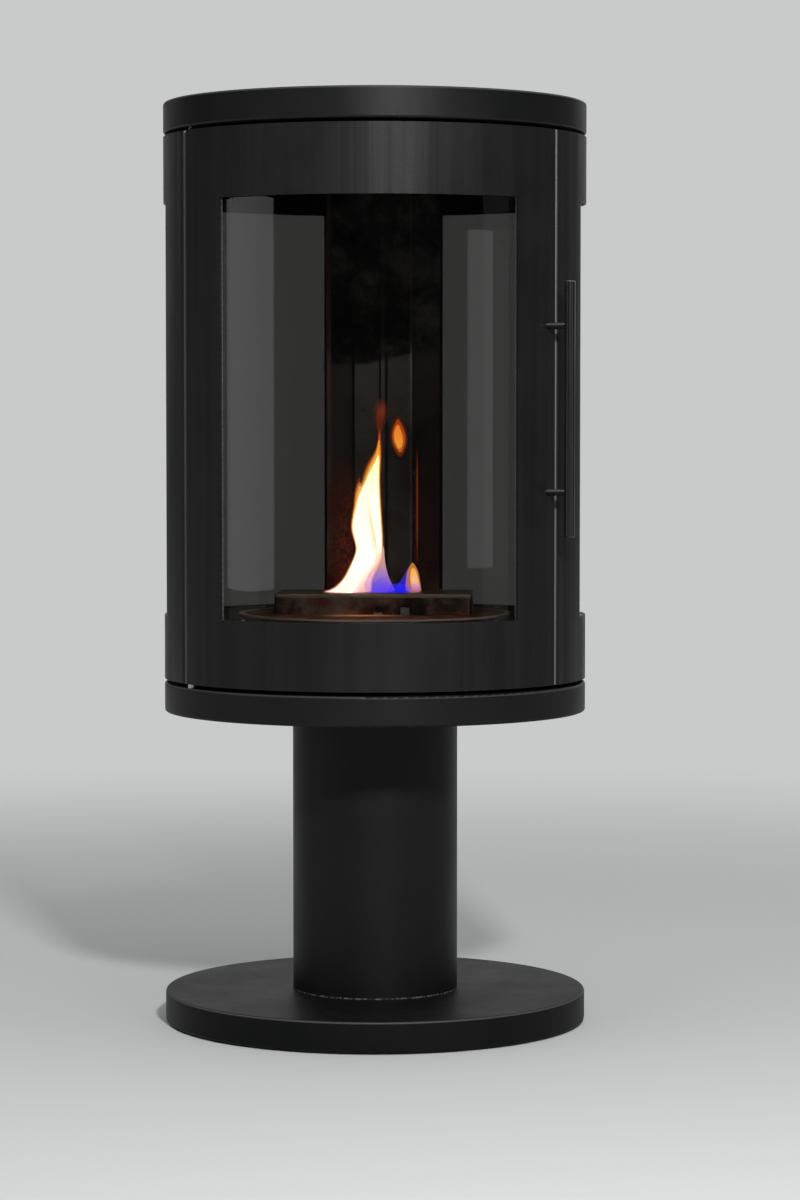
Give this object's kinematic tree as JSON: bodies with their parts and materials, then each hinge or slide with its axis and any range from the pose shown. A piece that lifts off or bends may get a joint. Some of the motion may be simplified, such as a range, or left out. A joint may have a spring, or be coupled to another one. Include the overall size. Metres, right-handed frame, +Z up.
{
  "type": "ethanol fireplace",
  "caption": "Round black pedestal ethanol fireplace with a tube column, curved glass windows, a hinged glass door with bar handle, and a burner box with a sliding shutter.",
  "frame": {"origin": "on the floor under the middle of the base disc, at the underside of the foot pads", "axes": "+Z up along the column, -Y towards the front with the door closed, +X to the right of a person facing the door"},
  "size_m": [0.5, 0.5, 1.0875],
  "materials": {
    "stove_paint": "satin black heat-resistant stove paint on steel",
    "inner_paint": "matt black heat-resistant paint on inner steel sheet",
    "raw_steel": "oiled mild steel, unpainted",
    "zinc_steel": "zinc-plated fasteners",
    "black_screws": "blackened steel screws",
    "hinge_steel": "bright turned steel",
    "heat_tinted_steel": "stainless sheet tinted brown by heat",
    "stainless_steel": "fine brushed stainless steel",
    "hearth_disc": "reddish-brown heat-tinted coating on steel",
    "clear_glass": "clear curved heat-resistant glass, polished",
    "fibre_gasket": "flat black glass-fibre gasket tape",
    "ceramic_wool": "white ceramic fibre wool",
    "pad_rubber": "dense black rubber pad",
    "ferrite": "dark sintered ferrite magnet"
  },
  "bodies": {
    "stand": {"baffle_studs": "raw_steel", "base_ballast": "raw_steel", "base_cover": "inner_paint", "base_shell": "stove_paint", "burner_casing": "heat_tinted_steel", "burner_clip": "stainless_steel", "burner_disc": "hearth_disc", "casing_bolts": "zinc_steel", "casing_floor": "inner_paint", "casing_roof": "inner_paint", "casing_spacers_lower": "raw_steel", "casing_spacers_upper": "raw_steel", "catch_magnets": "ferrite", "column_flanges": "inner_paint", "column_foot_bolts": "zinc_steel", "column_head_bolts": "zinc_steel", "column_tube": "stove_paint", "drum_cover": "inner_paint", "drum_posts": "raw_steel", "drum_shell": "stove_paint", "floor_plate": "inner_paint", "floor_posts": "raw_steel", "floor_screws": "zinc_steel", "foot_pads": "pad_rubber", "foot_posts": "raw_steel", "foot_screws": "zinc_steel", "fuel_tank": "stainless_steel", "heat_baffle": "inner_paint", "hinge_pins": "hinge_steel", "hinge_washer": "hinge_steel", "liner_batten": "inner_paint", "liner_screws": "black_screws", "liner_sleeves": "raw_steel", "rear_joint_strip": "inner_paint", "rear_liner": "inner_paint", "shutter_rails": "stainless_steel", "side_gasket_left": "fibre_gasket", "side_gasket_right": "fibre_gasket", "side_glass_left": "clear_glass", "side_glass_right": "clear_glass", "side_retainer_screws": "black_screws", "side_retainers_left": "inner_paint", "side_retainers_right": "inner_paint", "side_shell_left": "stove_paint", "side_shell_right": "stove_paint", "tank_wool": "ceramic_wool", "top_cap": "stove_paint", "top_liner": "inner_paint", "top_posts": "raw_steel"},
    "door": {"door_skin": "stove_paint", "door_ribs": "inner_paint", "door_glass": "clear_glass", "door_gasket": "fibre_gasket", "door_retainers": "inner_paint", "door_retainer_screws": "black_screws", "handle_bar": "stove_paint", "handle_studs": "stove_paint", "handle_screws": "zinc_steel"},
    "shutter": {"burner_shutter": "stainless_steel"}
  },
  "joints": [
    {"name": "door_hinge", "type": "hinge", "parent": "stand", "child": "door", "pos_m": [-0.20545, -0.1307, 0.41], "axis": [0, 0, -1], "range_deg": [0, 105]},
    {"name": "shutter_slide", "type": "slide", "parent": "stand", "child": "shutter", "axis": [0, -1, 0], "range_m": [0, 0.0265]}
  ]
}
